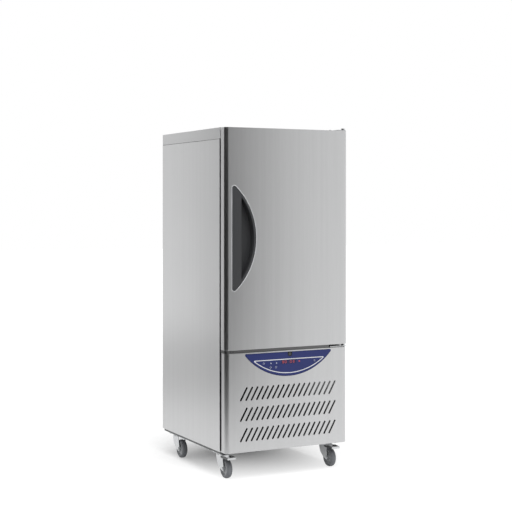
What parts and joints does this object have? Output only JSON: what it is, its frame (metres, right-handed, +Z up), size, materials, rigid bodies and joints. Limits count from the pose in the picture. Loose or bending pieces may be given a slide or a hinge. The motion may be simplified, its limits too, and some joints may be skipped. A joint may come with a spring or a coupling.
{
  "type": "blast chiller",
  "caption": "Upright reach-in blast chiller on castors: insulated steel cabinet with a hinged door, half-moon handle cup and a slotted machinery panel below.",
  "frame": {"origin": "on the floor, under the middle of the machine's overall box", "axes": "+Z up, -Y out of the door's face, +X to the hinge side"},
  "size_m": [0.72, 0.815, 1.81],
  "materials": {
    "stainless": "satin brushed stainless steel sheet",
    "galvanised": "dull galvanised steel sheet",
    "zinc": "bright zinc-plated pressed steel",
    "aluminium": "bare aluminium fins",
    "copper": "drawn copper tube",
    "black_enamel": "black enamel",
    "foam": "rigid polyurethane foam",
    "gasket": "soft dark seal",
    "tyre": "grey rubber tread on a grey plastic wheel",
    "handle_plastic": "dark grey moulded plastic",
    "frame_plastic": "dark grey moulded plastic",
    "black_plastic": "black moulded plastic",
    "white_plastic": "off-white moulded plastic",
    "control_blue": "deep blue printed foil on a plate"
  },
  "bodies": {
    "cabinet": {"left_side_panel": "stainless", "right_side_panel": "stainless", "top_panel": "stainless", "back_panel": "galvanised", "base_frame": "galvanised", "mid_rail": "stainless", "rear_grille": "galvanised", "door_frame": "frame_plastic", "insulation": "foam", "chamber_liner": "stainless", "lower_front_panel": "stainless", "control_panel": "control_blue", "controller": "black_plastic", "lock_bezel": "black_plastic", "hinge_bottom": "zinc", "hinge_top": "zinc", "rack_left": "zinc", "rack_right": "zinc", "fan_panel": "stainless", "evaporator_coil": "aluminium", "evaporator_motor_lower": "black_enamel", "evaporator_motor_upper": "black_enamel", "compressor": "black_enamel", "condenser_coil": "aluminium", "condenser_shroud": "galvanised", "condenser_motor": "black_enamel", "power_box": "galvanised", "evaporation_tray": "white_plastic", "drain_pipe": "white_plastic", "suction_pipe": "copper", "discharge_pipe": "copper", "castor_plate_front_left": "zinc", "castor_plate_front_right": "zinc", "castor_plate_rear_left": "zinc", "castor_plate_rear_right": "zinc"},
    "door": {"door_outer": "stainless", "door_foam": "foam", "door_liner": "stainless", "door_gasket": "gasket", "door_handle": "handle_plastic"},
    "lock_barrel": {"lock_barrel": "zinc"},
    "lock_bolt": {"lock_bolt": "zinc"},
    "key_power": {"key_power": "control_blue"},
    "key_soft_chill": {"key_soft_chill": "control_blue"},
    "key_hard_chill": {"key_hard_chill": "control_blue"},
    "key_scroll": {"key_scroll": "control_blue"},
    "core_probe": {"core_probe": "black_plastic"},
    "evaporator_fan_lower": {"evaporator_fan_lower": "black_plastic"},
    "evaporator_fan_upper": {"evaporator_fan_upper": "black_plastic"},
    "condenser_fan": {"condenser_fan": "black_plastic"},
    "castor_fork_front_left": {"castor_fork_front_left": "zinc"},
    "castor_fork_front_right": {"castor_fork_front_right": "zinc"},
    "castor_fork_rear_left": {"castor_fork_rear_left": "zinc"},
    "castor_fork_rear_right": {"castor_fork_rear_right": "zinc"},
    "castor_wheel_front_left": {"castor_wheel_front_left": "tyre"},
    "castor_wheel_front_right": {"castor_wheel_front_right": "tyre"},
    "castor_wheel_rear_left": {"castor_wheel_rear_left": "tyre"},
    "castor_wheel_rear_right": {"castor_wheel_rear_right": "tyre"},
    "castor_pedal_front_left": {"castor_pedal_front_left": "zinc"},
    "castor_pedal_front_right": {"castor_pedal_front_right": "zinc"}
  },
  "joints": [
    {"name": "door_hinge", "type": "hinge", "parent": "cabinet", "child": "door", "pos_m": [0.349, -0.3815, 1.2], "axis": [0, 0, 1], "range_deg": [0, 120]},
    {"name": "lock_turn", "type": "hinge", "parent": "cabinet", "child": "lock_barrel", "pos_m": [0.012, -0.4, 0.63], "axis": [0, 1, 0], "range_deg": [0, 90]},
    {"name": "lock_bolt_lift", "type": "slide", "parent": "cabinet", "child": "lock_bolt", "axis": [0, 0, 1], "range_m": [0, 0.0122]},
    {"name": "key_power_press", "type": "slide", "parent": "cabinet", "child": "key_power", "axis": [0, 1, 0], "range_m": [0, 0.0006], "stiffness_N_per_m": 400},
    {"name": "key_soft_chill_press", "type": "slide", "parent": "cabinet", "child": "key_soft_chill", "axis": [0, 1, 0], "range_m": [0, 0.0006], "stiffness_N_per_m": 400},
    {"name": "key_hard_chill_press", "type": "slide", "parent": "cabinet", "child": "key_hard_chill", "axis": [0, 1, 0], "range_m": [0, 0.0006], "stiffness_N_per_m": 400},
    {"name": "key_scroll_press", "type": "slide", "parent": "cabinet", "child": "key_scroll", "axis": [0, 1, 0], "range_m": [0, 0.0006], "stiffness_N_per_m": 400},
    {"name": "core_probe_lift", "type": "slide", "parent": "cabinet", "child": "core_probe", "axis": [0, 0, 1], "range_m": [0, 0.11]},
    {"name": "evaporator_fan_lower_spin", "type": "hinge", "parent": "cabinet", "child": "evaporator_fan_lower", "pos_m": [0, 0.137, 0.9925], "axis": [0, 1, 0], "continuous": true},
    {"name": "evaporator_fan_upper_spin", "type": "hinge", "parent": "cabinet", "child": "evaporator_fan_upper", "pos_m": [0, 0.137, 1.4325], "axis": [0, 1, 0], "continuous": true},
    {"name": "condenser_fan_spin", "type": "hinge", "parent": "cabinet", "child": "condenser_fan", "pos_m": [-0.1, -0.19, 0.3413], "axis": [0, 1, 0], "continuous": true},
    {"name": "swivel_front_left", "type": "hinge", "parent": "cabinet", "child": "castor_fork_front_left", "pos_m": [-0.308, -0.2725, 0.118], "axis": [0, 0, 1], "continuous": true},
    {"name": "swivel_front_right", "type": "hinge", "parent": "cabinet", "child": "castor_fork_front_right", "pos_m": [0.308, -0.2725, 0.118], "axis": [0, 0, 1], "continuous": true},
    {"name": "swivel_rear_left", "type": "hinge", "parent": "cabinet", "child": "castor_fork_rear_left", "pos_m": [-0.308, 0.2925, 0.118], "axis": [0, 0, 1], "continuous": true},
    {"name": "swivel_rear_right", "type": "hinge", "parent": "cabinet", "child": "castor_fork_rear_right", "pos_m": [0.308, 0.2925, 0.118], "axis": [0, 0, 1], "continuous": true},
    {"name": "roll_front_left", "type": "hinge", "parent": "castor_fork_front_left", "child": "castor_wheel_front_left", "pos_m": [-0.308, -0.3105, 0.04957], "axis": [1, 0, 0], "continuous": true},
    {"name": "roll_front_right", "type": "hinge", "parent": "castor_fork_front_right", "child": "castor_wheel_front_right", "pos_m": [0.308, -0.3105, 0.04957], "axis": [1, 0, 0], "continuous": true},
    {"name": "roll_rear_left", "type": "hinge", "parent": "castor_fork_rear_left", "child": "castor_wheel_rear_left", "pos_m": [-0.308, 0.2545, 0.04957], "axis": [1, 0, 0], "continuous": true},
    {"name": "roll_rear_right", "type": "hinge", "parent": "castor_fork_rear_right", "child": "castor_wheel_rear_right", "pos_m": [0.308, 0.2545, 0.04957], "axis": [1, 0, 0], "continuous": true},
    {"name": "brake_front_left", "type": "hinge", "parent": "castor_fork_front_left", "child": "castor_pedal_front_left", "pos_m": [-0.308, -0.2965, 0.1074], "axis": [1, 0, 0], "range_deg": [0, 10]},
    {"name": "brake_front_right", "type": "hinge", "parent": "castor_fork_front_right", "child": "castor_pedal_front_right", "pos_m": [0.308, -0.2965, 0.1074], "axis": [1, 0, 0], "range_deg": [0, 10]}
  ],
  "couplings": [
    {"joint": "lock_bolt_lift", "follows": "lock_turn", "m_per_rad": 0.0076394}
  ]
}
